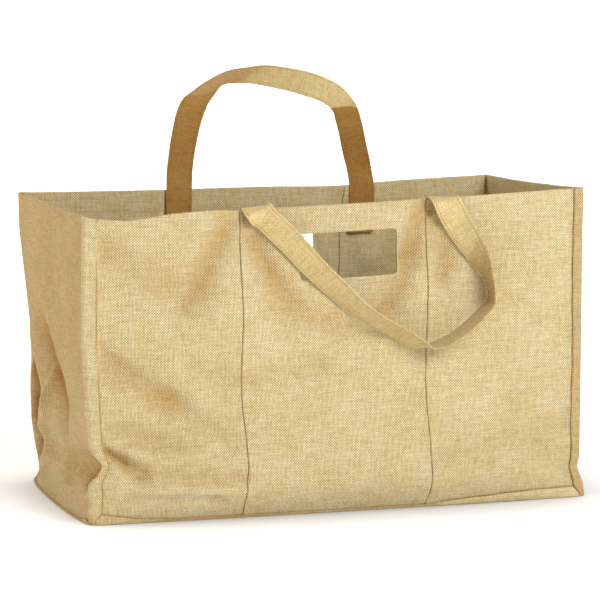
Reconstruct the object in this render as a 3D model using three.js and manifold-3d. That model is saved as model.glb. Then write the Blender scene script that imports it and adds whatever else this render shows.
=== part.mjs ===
// Firewood bag: an open, box-shaped bag of woven jute that stands on the floor.
// Millimetres, +Z up, front towards -Y, origin on the floor under the middle of the base.
import * as THREE from 'three';
import Module from 'manifold-3d';
import { mergeVertices } from 'three/addons/utils/BufferGeometryUtils.js';

const wasm = await Module();
wasm.setup();

// Driving dimensions
const WIDTH = 606;
const DEPTH = 310;
const CLOTH = 2;
const GAP = 0.3;
const LAYER = CLOTH + GAP;
const CORNER_FOLD = 14;
const CORNER_ROUND = 5;
const LEAN_REACH = 36;
const BASE_LIP = 13;
const BASE_LIP_LOWEST = 3;
const TURN_GAP = 0.7;
const LIP_SPREAD = 1.25;
const SEAM_LAP = 12;
const SEAM_STEP = 10;
const SEAM_LEFT = -124;
const SEAM_RIGHT = 102.5;
const STRAP_WIDTH = 33;
const STRAP_THICK = 3;
const STRAP_REST = 2.2;
const STRAP_STEPS = 64;
const STRAP_SAMPLES = 6;
const FOLD_FADE = 0.06;
const NORMAL_STEP = 2;
const SIDE_PANEL_COLUMNS = 8;
const CENTRE_PANEL_COLUMNS = 10;
const GUSSET_COLUMNS = 14;
const CORNER_SHARES = [0.3, 0.7];
const SLOT = { x: 8, z: 299, width: 120, height: 53, corner: 4.5, tilt: 2.2, reach: 60 };

// Corner posts: place at the floor, rim height, and how far the post leans out sideways at each height
const CORNERS = {
  frontLeft: {
    x: -WIDTH / 2, y: -DEPTH / 2, rim: 350,
    lean: [
      { z: 0, out: -4 }, { z: 13, out: -3 }, { z: 36, out: -4 }, { z: 47, out: -2 },
      { z: 57, out: -11 }, { z: 68, out: -17 }, { z: 82, out: -6 }, { z: 120, out: -1 },
      { z: 210, out: 4 }, { z: 350, out: 2 },
    ],
  },
  frontRight: {
    x: WIDTH / 2, y: -DEPTH / 2, rim: 370,
    lean: [
      { z: 0, out: 4 }, { z: 13, out: 4 }, { z: 36, out: -5 }, { z: 47, out: -2 }, { z: 370, out: 0 },
    ],
  },
  backRight: {
    x: WIDTH / 2, y: DEPTH / 2, rim: 367,
    lean: [
      { z: 0, out: 1 }, { z: 13, out: 1 }, { z: 47, out: -5 }, { z: 104, out: -3 }, { z: 367, out: 2 },
    ],
  },
  backLeft: {
    x: -WIDTH / 2, y: DEPTH / 2, rim: 357,
    lean: [
      { z: 0, out: -7 }, { z: 13, out: -14 }, { z: 36, out: -11 }, { z: 82, out: -6 },
      { z: 200, out: -4 }, { z: 310, out: 9 }, { z: 357, out: 10 },
    ],
  },
};

// Walls in order round the bag: corners, outward direction, sag of the rim and profile at mid wall
const WALLS = {
  front: {
    from: 'frontLeft', to: 'frontRight', outward: [0, -1], sag: 3,
    profile: [
      { z: 0, out: 5 }, { z: 13, out: 14 }, { z: 24, out: 21 }, { z: 36, out: 26 }, { z: 47, out: 27 },
      { z: 57, out: 26 }, { z: 120, out: 20 }, { z: 200, out: 13 }, { z: 290, out: 5 }, { z: 352, out: 0 },
    ],
  },
  right: {
    from: 'frontRight', to: 'backRight', outward: [1, 0], sag: 2,
    profile: [
      { z: 0, out: 10 }, { z: 13, out: 12 }, { z: 47, out: 15 }, { z: 130, out: 11 },
      { z: 260, out: 4 }, { z: 368, out: 0 },
    ],
  },
  back: {
    from: 'backRight', to: 'backLeft', outward: [0, 1], sag: 4,
    profile: [
      { z: 0, out: 4 }, { z: 13, out: 12 }, { z: 24, out: 18 }, { z: 47, out: 22 }, { z: 120, out: 17 },
      { z: 220, out: 9 }, { z: 362, out: 0 },
    ],
  },
  left: {
    from: 'backLeft', to: 'frontLeft', outward: [-1, 0], sag: 0,
    profile: [
      { z: 0, out: 9 }, { z: 13, out: 9 }, { z: 47, out: 6 }, { z: 130, out: 4 },
      { z: 250, out: 1 }, { z: 352, out: 0 },
    ],
  },
};

// Dips in a rim: place along the wall, half width and depth
const RIM_DIPS = [
  { wall: 'front', at: -254, width: 42, depth: 7 },
  { wall: 'back', at: 90, width: 60, depth: 3 },
];

// Height of the base's lip by distance from the nearest corner, along the front and back and the sides
const LIPS = {
  x: [{ d: 14, height: 13 }, { d: 60, height: 10.5 }, { d: 110, height: 7 }, { d: 170, height: 4.5 }],
  y: [{ d: 10, height: 7 }, { d: 30, height: 5 }],
};

// Folds: a straight crease on a wall from (a0, z0) to (a1, z1), its half width and how far it stands out
const FOLDS = [
  { wall: 'front', a0: -288, z0: 86, a1: -244, z1: 60, width: 12, out: -10 },
  { wall: 'front', a0: -133, z0: 345, a1: -168, z1: 266, width: 20, out: -6 },
  { wall: 'front', a0: -168, z0: 266, a1: -190, z1: 236, width: 20, out: -4 },
  { wall: 'front', a0: -290, z0: 190, a1: -212, z1: 138, width: 20, out: -6 },
  { wall: 'front', a0: -212, z0: 138, a1: -150, z1: 110, width: 20, out: -5 },
  { wall: 'front', a0: -260, z0: 112, a1: -208, z1: 92, width: 16, out: -5 },
  { wall: 'front', a0: -108, z0: 348, a1: -66, z1: 216, width: 14, out: -5 },
  { wall: 'front', a0: 104, z0: 354, a1: 80, z1: 300, width: 16, out: -6 },
  { wall: 'front', a0: 80, z0: 300, a1: 60, z1: 240, width: 16, out: -4 },
  { wall: 'front', a0: 112, z0: 350, a1: 128, z1: 280, width: 14, out: -5 },
  { wall: 'front', a0: 292, z0: 40, a1: 240, z1: 62, width: 14, out: -5 },
  { wall: 'left', a0: 128, z0: 172, a1: 66, z1: 142, width: 12, out: 4 },
  { wall: 'left', a0: 152, z0: 160, a1: 112, z1: 126, width: 18, out: -11 },
  { wall: 'left', a0: 112, z0: 126, a1: 132, z1: 90, width: 18, out: -11 },
  { wall: 'left', a0: 132, z0: 90, a1: 106, z1: 58, width: 16, out: -10 },
  { wall: 'left', a0: 106, z0: 58, a1: 136, z1: 26, width: 14, out: -9 },
  { wall: 'left', a0: 78, z0: 197, a1: -46, z1: 128, width: 22, out: -7 },
  { wall: 'left', a0: -74, z0: 166, a1: 28, z1: 116, width: 16, out: 3.5 },
  { wall: 'left', a0: 28, z0: 116, a1: 68, z1: 84, width: 16, out: 3.5 },
  { wall: 'left', a0: 68, z0: 84, a1: 34, z1: 57, width: 14, out: 3.5 },
  { wall: 'left', a0: 34, z0: 57, a1: 98, z1: 18, width: 14, out: 3.5 },
  { wall: 'left', a0: -140, z0: 70, a1: -60, z1: 44, width: 20, out: -7 },
  { wall: 'right', a0: -140, z0: 40, a1: -40, z1: 60, width: 20, out: -6 },
  { wall: 'right', a0: 140, z0: 90, a1: 30, z1: 130, width: 24, out: -6 },
  { wall: 'back', a0: -290, z0: 120, a1: -180, z1: 90, width: 22, out: -6 },
  { wall: 'back', a0: 290, z0: 140, a1: 190, z1: 100, width: 22, out: -6 },
  { wall: 'back', a0: -118, z0: 350, a1: -160, z1: 260, width: 20, out: -5 },
  { wall: 'back', a0: 118, z0: 350, a1: 140, z1: 270, width: 18, out: -5 },
];

// Heights of the rows of a wall whose rim is at the last of them; up to STEADY they hold on every wall
const LEVELS = [0, BASE_LIP, 24, 36, 47, 57, 68, 82, 104, 135, 170, 210, 250, 290, 328, 360];
const STEADY = 82;

function evenly(from, to, count) {
  return Array.from({ length: count + 1 }, (_, i) => THREE.MathUtils.lerp(from, to, i / count));
}

// Places of the columns of points along the walls, those of a seam and of a turned edge among them
const PANEL_END = WIDTH / 2 - CORNER_ROUND - GAP;
const CORNER_MIDDLE = CORNER_ROUND / 2;
const EDGE = WIDTH / 2 - CORNER_FOLD;
const LEFT_COLUMNS = [-PANEL_END, ...evenly(-EDGE, SEAM_LEFT - SEAM_STEP, SIDE_PANEL_COLUMNS)];
const CENTRE_EDGES = [SEAM_LEFT + SEAM_LAP, SEAM_RIGHT - SEAM_STEP];
const CENTRE_COLUMNS = [SEAM_LEFT, ...evenly(...CENTRE_EDGES, CENTRE_PANEL_COLUMNS)];
const RIGHT_COLUMNS = [SEAM_RIGHT, ...evenly(SEAM_RIGHT + SEAM_LAP, EDGE, SIDE_PANEL_COLUMNS), PANEL_END];
const SIDE_EDGE = DEPTH / 2 - CORNER_FOLD;
const SIDE_END = DEPTH / 2 - CORNER_ROUND;
const SIDE_COLUMNS = [-SIDE_END, ...evenly(-SIDE_EDGE, SIDE_EDGE, GUSSET_COLUMNS), SIDE_END];

// Front handle: strap centre, turn of its width from +X towards +Z and angle at which it stands out
const FRONT_STRAP = [
  { x: -92, z: 345, turn: 42, out: 34 },
  { x: -66, z: 316, turn: 46, out: 42 },
  { x: -46, z: 293, turn: 46, out: 42 },
  { x: -16, z: 264, turn: 48, out: 46 },
  { x: 14, z: 237, turn: 53, out: 58 },
  { x: 46, z: 216, turn: 58, out: 62 },
  { x: 70, z: 203, turn: 58, out: 68 },
  { x: 90, z: 193, turn: 40, out: 84 },
  { x: 115, z: 196, turn: -60, out: 78 },
  { x: 144, z: 212, turn: -56, out: 80 },
  { x: 166, z: 230, turn: -50, out: 82 },
  { x: 176, z: 244, turn: -20, out: 86 },
  { x: 173, z: 266, turn: 10, out: 80 },
  { x: 165, z: 286, turn: 24, out: 64 },
  { x: 154, z: 307, turn: 27, out: 50 },
  { x: 140, z: 333, turn: 24, out: 26 },
];
// Ends of the front handle, sewn inside the rim and folded over it
const FRONT_ROOTS = { left: -106, right: 126, tail: 46, over: 6.6, drop: 1 };

// Back handle: strap centre, how far it stands behind the rim, and its width as above
const BACK_STRAP = [
  { x: -108, z: 384, behind: -4, turn: 184, out: 0 },
  { x: -104, z: 414, behind: -6, turn: 189, out: -4 },
  { x: -99, z: 438, behind: -6, turn: 192, out: -8 },
  { x: -91, z: 459, behind: -4, turn: 188, out: -20 },
  { x: -76, z: 476, behind: 1, turn: 165, out: -56 },
  { x: -57, z: 489, behind: 5, turn: 125, out: -74 },
  { x: -38, z: 495, behind: 7, turn: 101, out: -64 },
  { x: -18, z: 496.5, behind: 7, turn: 74, out: -55 },
  { x: 4, z: 496.5, behind: 5, turn: 64, out: -36 },
  { x: 28, z: 493, behind: 2, turn: 68, out: -28 },
  { x: 58, z: 486, behind: -2, turn: 64, out: -20 },
  { x: 80, z: 478, behind: -4, turn: 62, out: -20 },
  { x: 97, z: 467, behind: -5, turn: 52, out: -16 },
  { x: 109, z: 451, behind: -6, turn: 18, out: -8 },
  { x: 115, z: 430, behind: -6, turn: -13, out: 0 },
  { x: 121, z: 404, behind: -5, turn: -9, out: 0 },
  { x: 127, z: 380, behind: -4, turn: -4, out: 0 },
];
const BACK_ROOTS = { left: -111, right: 129, tail: 62, drop: 2 };

const JUTE = new THREE.MeshStandardMaterial({ color: 0xdcc08a, roughness: 0.95, metalness: 0 });
const STRAP_JUTE = new THREE.MeshStandardMaterial({ color: 0xcfa868, roughness: 0.95, metalness: 0 });

// Value of a column of a table at a place in its key column, straight between rows
function column(rows, place, name, key = 'z') {
  const above = rows.findIndex((row) => row[key] >= place);
  if (above === 0) return rows[0][name];
  if (above < 0) return rows[rows.length - 1][name];
  const low = rows[above - 1];
  const high = rows[above];
  return THREE.MathUtils.mapLinear(place, low[key], high[key], low[name], high[name]);
}

function cornerPost(name, z) {
  const corner = CORNERS[name];
  const out = column(corner.lean, z, 'out');
  return new THREE.Vector2(corner.x + Math.sign(corner.x) * out, corner.y);
}

// Plan of a wall before it bulges: a side wall runs straight between its posts, and on the front and the back
// the lean of a post dies away within LEAN_REACH
function planPoint(wall, along, z) {
  const { from, to, outward } = WALLS[wall];
  if (outward[0] !== 0) return cornerPost(from, z).lerp(cornerPost(to, z), share(wall, along));
  const plan = new THREE.Vector2(along, CORNERS[from].y);
  for (const name of [from, to]) {
    const away = Math.abs(along - CORNERS[name].x);
    plan.x += (cornerPost(name, z).x - CORNERS[name].x) * Math.exp(-away / LEAN_REACH);
  }
  return plan;
}

// How far along a wall a place is, 0 to 1 in the order round the bag
function share(wall, along) {
  const { from, to, outward } = WALLS[wall];
  const axis = outward[0] === 0 ? 'x' : 'y';
  return (along - CORNERS[from][axis]) / (CORNERS[to][axis] - CORNERS[from][axis]);
}

function rimHeight(wall, along) {
  const { from, to, sag } = WALLS[wall];
  const s = share(wall, along);
  let z = THREE.MathUtils.lerp(CORNERS[from].rim, CORNERS[to].rim, s) - sag * 4 * s * (1 - s);
  for (const dip of RIM_DIPS) {
    if (dip.wall === wall) z -= dip.depth * Math.exp(-(((along - dip.at) / dip.width) ** 2));
  }
  return z;
}

// Bulge and folds of a wall, fading out at its two corner posts
function pushedOut(wall, along, z) {
  const s = THREE.MathUtils.clamp(share(wall, along), 0, 1);
  let out = column(WALLS[wall].profile, z, 'out') * (1 - Math.abs(2 * s - 1) ** 3);
  const fade = THREE.MathUtils.smoothstep(Math.min(s, 1 - s), 0, FOLD_FADE)
    * THREE.MathUtils.smoothstep(z, BASE_LIP, 3 * BASE_LIP);
  for (const fold of FOLDS) {
    if (fold.wall !== wall) continue;
    const run = new THREE.Vector2(fold.a1 - fold.a0, fold.z1 - fold.z0);
    const place = new THREE.Vector2(along - fold.a0, z - fold.z0);
    const t = THREE.MathUtils.clamp(place.dot(run) / run.lengthSq(), 0, 1);
    const away = place.sub(run.multiplyScalar(t)).length();
    out += fade * fold.out * Math.exp(-((away / fold.width) ** 2));
  }
  return out;
}

function facePoint(wall, along, z) {
  const outward = WALLS[wall].outward;
  const plan = planPoint(wall, along, z);
  const out = pushedOut(wall, along, z);
  return new THREE.Vector3(plan.x + outward[0] * out, plan.y + outward[1] * out, z);
}

// Point at a distance from the outer face of a wall, outwards where it is positive
function wallPoint(wall, along, z, offset) {
  const across = facePoint(wall, along + NORMAL_STEP, z).sub(facePoint(wall, along - NORMAL_STEP, z));
  const up = facePoint(wall, along, z + NORMAL_STEP).sub(facePoint(wall, along, z - NORMAL_STEP));
  const normal = across.cross(up).normalize();
  const outward = WALLS[wall].outward;
  if (normal.x * outward[0] + normal.y * outward[1] < 0) normal.negate();
  return facePoint(wall, along, z).addScaledVector(normal, offset);
}

function solidFrom(points, triangles) {
  let volume = 0;
  for (const [a, b, c] of triangles) {
    volume += points[a].dot(new THREE.Vector3().crossVectors(points[b], points[c]));
  }
  const order = volume < 0 ? triangles.map(([a, b, c]) => [a, c, b]) : triangles;
  const geometry = new THREE.BufferGeometry().setFromPoints(points);
  geometry.setIndex(order.flat());
  return geometry;
}

// Closed sheet between two grids of points of the same size
function sheetSolid(outer, inner) {
  const rows = outer.length;
  const columns = outer[0].length;
  const end = columns - 1;
  const points = [...outer.flat(), ...inner.flat()];
  const at = (side, row, col) => side * rows * columns + row * columns + col;
  const triangles = [];
  const quad = (a, b, c, d) => triangles.push([a, b, c], [a, c, d]);
  for (let row = 0; row + 1 < rows; row += 1) {
    for (let col = 0; col + 1 < columns; col += 1) {
      quad(at(0, row, col), at(0, row, col + 1), at(0, row + 1, col + 1), at(0, row + 1, col));
      quad(at(1, row, col), at(1, row + 1, col), at(1, row + 1, col + 1), at(1, row, col + 1));
    }
    quad(at(0, row, 0), at(0, row + 1, 0), at(1, row + 1, 0), at(1, row, 0));
    quad(at(0, row, end), at(1, row, end), at(1, row + 1, end), at(0, row + 1, end));
  }
  for (let col = 0; col + 1 < columns; col += 1) {
    quad(at(0, 0, col), at(1, 0, col), at(1, 0, col + 1), at(0, 0, col + 1));
    quad(at(0, rows - 1, col), at(0, rows - 1, col + 1), at(1, rows - 1, col + 1), at(1, rows - 1, col));
  }
  return solidFrom(points, triangles);
}

// Closed solid through rings of points of the same count, with a point in the middle of each end
function ringSolid(rings, first, last) {
  const count = rings[0].length;
  const points = [...rings.flat(), first, last];
  const triangles = [];
  for (let i = 0; i < count; i += 1) {
    const next = (i + 1) % count;
    for (let ring = 0; ring + 1 < rings.length; ring += 1) {
      const low = ring * count;
      const high = low + count;
      triangles.push([low + i, low + next, high + next], [low + i, high + next, high + i]);
    }
    const top = (rings.length - 1) * count;
    triangles.push([points.length - 2, next, i], [points.length - 1, top + i, top + next]);
  }
  return solidFrom(points, triangles);
}

// Height of a row of a wall between its foot and its rim
function rowHeight(level, foot, rim) {
  const top = LEVELS[LEVELS.length - 1];
  const z = level <= STEADY ? level : THREE.MathUtils.mapLinear(level, STEADY, top, STEADY, rim);
  return level === 0 ? foot : Math.max(z, foot + GAP);
}

// Width of a front or back wall through columns along X, its last edge tucked under the next panel at a seam
function panelSolid(wall, columns, seam) {
  const places = columns.map((along) => ({ along, inset: 0 }));
  if (seam !== undefined) {
    const tucked = [seam - SEAM_STEP / 3, seam, seam + SEAM_LAP];
    places.push(...tucked.map((along) => ({ along, inset: LAYER })));
  }
  const grid = (depth) => LEVELS.map((level) => places.map(({ along, inset }) => {
    const z = rowHeight(level, LAYER, rimHeight(wall, along));
    return wallPoint(wall, along, z, -inset - depth);
  }));
  return sheetSolid(grid(0), grid(CLOTH));
}

function toManifold(geometry) {
  const bare = geometry.clone();
  bare.deleteAttribute('normal');
  bare.deleteAttribute('uv');
  const merged = mergeVertices(bare, 1e-3);
  return new wasm.Manifold(new wasm.Mesh({
    numProp: 3,
    vertProperties: new Float32Array(merged.attributes.position.array),
    triVerts: new Uint32Array(merged.index.array),
  }));
}

function toGeometry(manifold) {
  const mesh = manifold.getMesh();
  const geometry = new THREE.BufferGeometry();
  geometry.setAttribute('position', new THREE.BufferAttribute(new Float32Array(mesh.vertProperties), 3));
  geometry.setIndex(new THREE.BufferAttribute(new Uint32Array(mesh.triVerts), 1));
  return geometry;
}

// Rounded hand slot, a block through the wall along Y
function slotBlock(wall) {
  const { x, z, width, height, corner, tilt, reach } = SLOT;
  const w = width / 2;
  const h = height / 2;
  const shape = new THREE.Shape();
  shape.moveTo(-w + corner, -h);
  shape.lineTo(w - corner, -h);
  shape.absarc(w - corner, -h + corner, corner, -Math.PI / 2, 0);
  shape.absarc(w - corner, h - corner, corner, 0, Math.PI / 2);
  shape.absarc(-w + corner, h - corner, corner, Math.PI / 2, Math.PI);
  shape.absarc(-w + corner, -h + corner, corner, Math.PI, Math.PI * 1.5);
  const block = new THREE.ExtrudeGeometry(shape, { depth: reach, bevelEnabled: false, curveSegments: 4 });
  block.translate(0, 0, -reach / 2);
  block.rotateZ(THREE.MathUtils.degToRad(tilt));
  block.rotateX(Math.PI / 2);
  return block.translate(x, WALLS[wall].outward[1] * DEPTH / 2, z);
}

function centrePanelSolid(wall, columns, seam) {
  const panel = toManifold(panelSolid(wall, columns, seam));
  return toGeometry(panel.subtract(toManifold(slotBlock(wall))));
}

// Line of the mitre between a turned corner edge and the lip of the base
function mitreHeight(fromCorner) {
  const rise = (fromCorner - CORNER_ROUND) / (CORNER_FOLD - CORNER_ROUND);
  return THREE.MathUtils.lerp(BASE_LIP_LOWEST, BASE_LIP, THREE.MathUtils.clamp(rise, 0, 1));
}

// Side wall with an edge turned round each corner; sign is -1 on the left and 1 on the right
function gussetSolid(wall, sign) {
  const cornerX = sign * WIDTH / 2;
  const foldPlaces = evenly(CORNER_FOLD, CORNER_ROUND, 2);
  const columnAt = (depth, level) => {
    const turned = (face, fromCorner) => {
      const along = cornerX - sign * fromCorner;
      const z = rowHeight(level, mitreHeight(fromCorner) + GAP, rimHeight(face, along));
      return wallPoint(face, along, z, TURN_GAP + CLOTH - depth);
    };
    const side = (along) => {
      const z = rowHeight(level, BASE_LIP_LOWEST + GAP, rimHeight(wall, along));
      return wallPoint(wall, along, z, -depth);
    };
    const arc = (face, end) => {
      const corner = sign < 0 ? `${face}Left` : `${face}Right`;
      const z = rowHeight(level, BASE_LIP_LOWEST + GAP, CORNERS[corner].rim);
      const post = cornerPost(corner, z);
      const out = face === 'front' ? -1 : 1;
      const knee = new THREE.Vector3(post.x - sign * depth, post.y + out * (TURN_GAP + CLOTH - depth), z);
      const bend = new THREE.QuadraticBezierCurve3(turned(face, CORNER_ROUND), knee, side(end));
      return CORNER_SHARES.map((t) => bend.getPoint(t));
    };
    return [
      ...foldPlaces.map((place) => turned('front', place)),
      ...arc('front', SIDE_COLUMNS[0]),
      ...SIDE_COLUMNS.map(side),
      ...arc('back', SIDE_COLUMNS[SIDE_COLUMNS.length - 1]).reverse(),
      ...foldPlaces.map((place) => turned('back', place)).reverse(),
    ];
  };
  const grid = (depth) => LEVELS.map((level) => columnAt(depth, level));
  return sheetSolid(grid(0), grid(CLOTH));
}

// Places round the foot of the bag: wall, place along it and height of the lip there
function baseOutline() {
  const facade = [...LEFT_COLUMNS, ...CENTRE_COLUMNS, ...RIGHT_COLUMNS];
  const places = [];
  for (const [wall, { to, outward }] of Object.entries(WALLS)) {
    const axis = outward[0] === 0 ? 'x' : 'y';
    const half = axis === 'x' ? WIDTH / 2 : DEPTH / 2;
    const near = [-half + CORNER_MIDDLE, half - CORNER_MIDDLE];
    const columns = [near[0], ...(axis === 'x' ? facade : SIDE_COLUMNS), near[1]];
    if (CORNERS[to][axis] < 0) columns.reverse();
    for (const along of columns) {
      const fromCorner = half - Math.abs(along);
      const lip = Math.min(mitreHeight(fromCorner), column(LIPS[axis], fromCorner, 'height', 'd'));
      places.push({ wall, along, lip: lip - GAP });
    }
  }
  return places;
}

function baseSolid() {
  const places = baseOutline();
  const ring = (offset, height) => places.map(({ wall, along, lip }) => {
    const [x, y] = WALLS[wall].outward;
    const spread = offset * LIP_SPREAD;
    return facePoint(wall, along, height(lip)).add(new THREE.Vector3(x * spread, y * spread, 0));
  });
  const rings = [
    ring(TURN_GAP, () => 0),
    ring(TURN_GAP + CLOTH, () => CLOTH / 2),
    ring(TURN_GAP + CLOTH, (lip) => lip),
    ring(TURN_GAP, (lip) => lip),
    ring(TURN_GAP, () => CLOTH),
  ];
  return ringSolid(rings, new THREE.Vector3(0, 0, 0), new THREE.Vector3(0, 0, CLOTH));
}

// Direction of a strap's width from its turn and the angle at which it stands out to the front
function widthDirection(turn, out) {
  const t = THREE.MathUtils.degToRad(turn);
  const o = THREE.MathUtils.degToRad(out);
  return new THREE.Vector3(Math.cos(t) * Math.cos(o), -Math.sin(o), Math.sin(t) * Math.cos(o));
}

// Flat strap through stations, each with its centre and the direction of its width
function strapSolid(stations) {
  const path = new THREE.CatmullRomCurve3(stations.map((s) => s.centre), false, 'centripetal');
  const widths = new THREE.CatmullRomCurve3(stations.map((s) => s.width), false, 'centripetal');
  const rings = evenly(0, 1, STRAP_STEPS).map((t) => {
    const along = path.getTangent(t);
    const width = widths.getPoint(t);
    width.addScaledVector(along, -width.dot(along)).normalize();
    const face = new THREE.Vector3().crossVectors(along, width);
    const corner = (w, f) => path.getPoint(t)
      .addScaledVector(width, w * STRAP_WIDTH / 2)
      .addScaledVector(face, f * STRAP_THICK / 2);
    return [corner(-1, -1), corner(0, -1), corner(1, -1), corner(1, 1), corner(0, 1), corner(-1, 1)];
  });
  return ringSolid(rings, path.getPoint(0), path.getPoint(1));
}

// Place of the wall's face under a strap: the one that lies furthest in or out across the strap's width
function underStrap(wall, x, z, pick) {
  const across = evenly(x - STRAP_WIDTH / 2, x + STRAP_WIDTH / 2, STRAP_SAMPLES);
  return pick(...across.map((place) => facePoint(wall, place, z).y));
}

// Strap end sewn inside the front rim and folded over it, from its tail to where it hangs free
function frontRoot(x) {
  const { tail, over, drop } = FRONT_ROOTS;
  const rim = rimHeight('front', x);
  const width = new THREE.Vector3(1, 0, 0);
  const sewn = (z) => underStrap('front', x, z, Math.max) + 2 * LAYER + STRAP_THICK / 2 + 2 * GAP;
  const hung = (z) => underStrap('front', x, z, Math.min) - STRAP_THICK / 2 - 2 * STRAP_REST;
  const crest = underStrap('front', x, rim, Math.max) + CLOTH;
  return [
    { centre: new THREE.Vector3(x, sewn(rim - tail), rim - tail), width },
    { centre: new THREE.Vector3(x, sewn(rim - tail / 2), rim - tail / 2), width },
    { centre: new THREE.Vector3(x, sewn(rim - drop), rim - drop), width },
    { centre: new THREE.Vector3(x, crest, rim + over), width },
    { centre: new THREE.Vector3(x, hung(rim - drop), rim - drop), width },
  ];
}

// Centre of a strap that hangs in front of a wall and clears it by STRAP_REST all across its width
function hangingCentre(x, z, width) {
  const thick = STRAP_REST + STRAP_THICK * Math.hypot(width.x, width.z) / 2;
  const reaches = evenly(-STRAP_WIDTH / 2, STRAP_WIDTH / 2, STRAP_SAMPLES).map((reach) => {
    const face = facePoint('front', x + reach * width.x, z + reach * width.z);
    return face.y - reach * width.y - thick;
  });
  return new THREE.Vector3(x, Math.min(...reaches), z);
}

function frontHandleSolid() {
  const free = FRONT_STRAP.map(({ x, z, turn, out }) => {
    const width = widthDirection(turn, out);
    return { centre: hangingCentre(x, z, width), width };
  });
  return strapSolid([...frontRoot(FRONT_ROOTS.left), ...free, ...frontRoot(FRONT_ROOTS.right).reverse()]);
}

function backRoot(x, turn) {
  const { tail, drop } = BACK_ROOTS;
  const rim = rimHeight('back', x);
  return [rim - tail, rim - tail / 2, rim - drop].map((z) => ({
    centre: new THREE.Vector3(x, underStrap('back', x, z, Math.min) - 2 * LAYER - STRAP_THICK / 2 - GAP, z),
    width: widthDirection(turn, 0),
  }));
}

function backHandleSolid() {
  const rimY = DEPTH / 2;
  const free = BACK_STRAP.map(({ x, z, behind, turn, out }) => ({
    centre: new THREE.Vector3(x, rimY + behind, z),
    width: widthDirection(turn, out),
  }));
  return strapSolid([...backRoot(BACK_ROOTS.left, 180), ...free, ...backRoot(BACK_ROOTS.right, 0).reverse()]);
}

const bag = new THREE.Group();

function addPiece(name, geometry, material) {
  const mesh = new THREE.Mesh(geometry, material);
  mesh.name = name;
  bag.add(mesh);
}

addPiece('base_panel', baseSolid(), JUTE);
addPiece('left_gusset', gussetSolid('left', -1), JUTE);
addPiece('right_gusset', gussetSolid('right', 1), JUTE);
for (const wall of ['front', 'back']) {
  addPiece(`${wall}_left_panel`, panelSolid(wall, LEFT_COLUMNS, SEAM_LEFT), JUTE);
  addPiece(`${wall}_centre_panel`, centrePanelSolid(wall, CENTRE_COLUMNS, SEAM_RIGHT), JUTE);
  addPiece(`${wall}_right_panel`, panelSolid(wall, RIGHT_COLUMNS), JUTE);
}
addPiece('front_handle', frontHandleSolid(), STRAP_JUTE);
addPiece('back_handle', backHandleSolid(), STRAP_JUTE);

export default bag;
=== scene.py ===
import math

import bmesh
import bpy
import numpy as np
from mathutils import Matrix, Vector


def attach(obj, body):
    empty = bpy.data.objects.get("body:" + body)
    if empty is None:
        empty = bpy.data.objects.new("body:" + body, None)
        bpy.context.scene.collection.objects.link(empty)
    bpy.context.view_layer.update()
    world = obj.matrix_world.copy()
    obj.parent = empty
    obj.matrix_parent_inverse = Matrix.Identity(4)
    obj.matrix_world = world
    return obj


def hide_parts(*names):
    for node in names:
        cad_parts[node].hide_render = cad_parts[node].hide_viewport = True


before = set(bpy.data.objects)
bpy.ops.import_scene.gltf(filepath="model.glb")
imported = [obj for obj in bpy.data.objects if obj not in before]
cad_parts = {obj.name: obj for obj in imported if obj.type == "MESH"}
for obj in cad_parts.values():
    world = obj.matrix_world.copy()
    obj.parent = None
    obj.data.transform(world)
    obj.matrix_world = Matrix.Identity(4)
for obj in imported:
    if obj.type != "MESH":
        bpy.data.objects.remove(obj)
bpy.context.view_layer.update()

# Firewood bag of woven jute. Tables and shapes are in millimetres, as in the part's source.
# Meshes, lights and the camera are in metres.
MM = 0.001
WIDTH = 606
DEPTH = 310
CLOTH = 1.7
GAP = 0.3
LAYER = 2.3
SHARP_ANGLE = math.radians(40)

# Hem of the rim
HEM = 24
HEM_THICK = 3.0
HEM_STEP = 0.8

# Corners, where each side wall's edge turns on to the front and the back
CORNER_FOLD = 14
CORNER_ROUND = 5
CORNER_STEPS = 8
LEAN_REACH = 36
TURN_GAP = 0.7
TURN_THICK = 2
TURN_OUT = TURN_GAP + TURN_THICK

# Base and its lip
BASE_THICK = 2.0
BASE_LIP = 13
BASE_LIP_LOWEST = 3
LIP_SPREAD = 1.25

# Upright seams
SEAM_LAP = 12
SEAM_LEFT = -124
SEAM_RIGHT = 102.5
SEAM_REACH = 25

# Straps
STRAP_WIDTH = 33
STRAP_THICK = 3
STRAP_REST = 2.2
STRAP_STITCH = 13.2
STRAP_STEPS = 260

# Hand slot
SLOT = {"x": 8, "z": 299, "width": 120, "height": 53, "corner": 4.5, "tilt": 2.2}
SLOT_ARC_POINTS = 6
SLOT_CUT = 40

# Grids of the cloth: usual step, and the step and reach of the finer one beside an edge or a lap
STEP = 3
EDGE_STEP = 0.8
EDGE_REACH = 16
LAP_STEP = 1.0
LAP_REACH = 10
TUCK_REACH = 8
TUCK_PLACES = (-7, -6, -5, -4, -3, -2, -1.3, -0.9, -0.5, -0.2, 0.2, 2, SEAM_LAP)

# Smoothing of the tables and fading of the folds towards the corners and the foot
BLUR = (-6, -3, 0, 3, 6)
LEAN_BLUR = (-3, -1, 1, 3)
NORMAL_STEP = 2
FOLD_FADE = 0.06
CREASE_FADE = 8
CREASE_FOOT = (6, 20)

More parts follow.
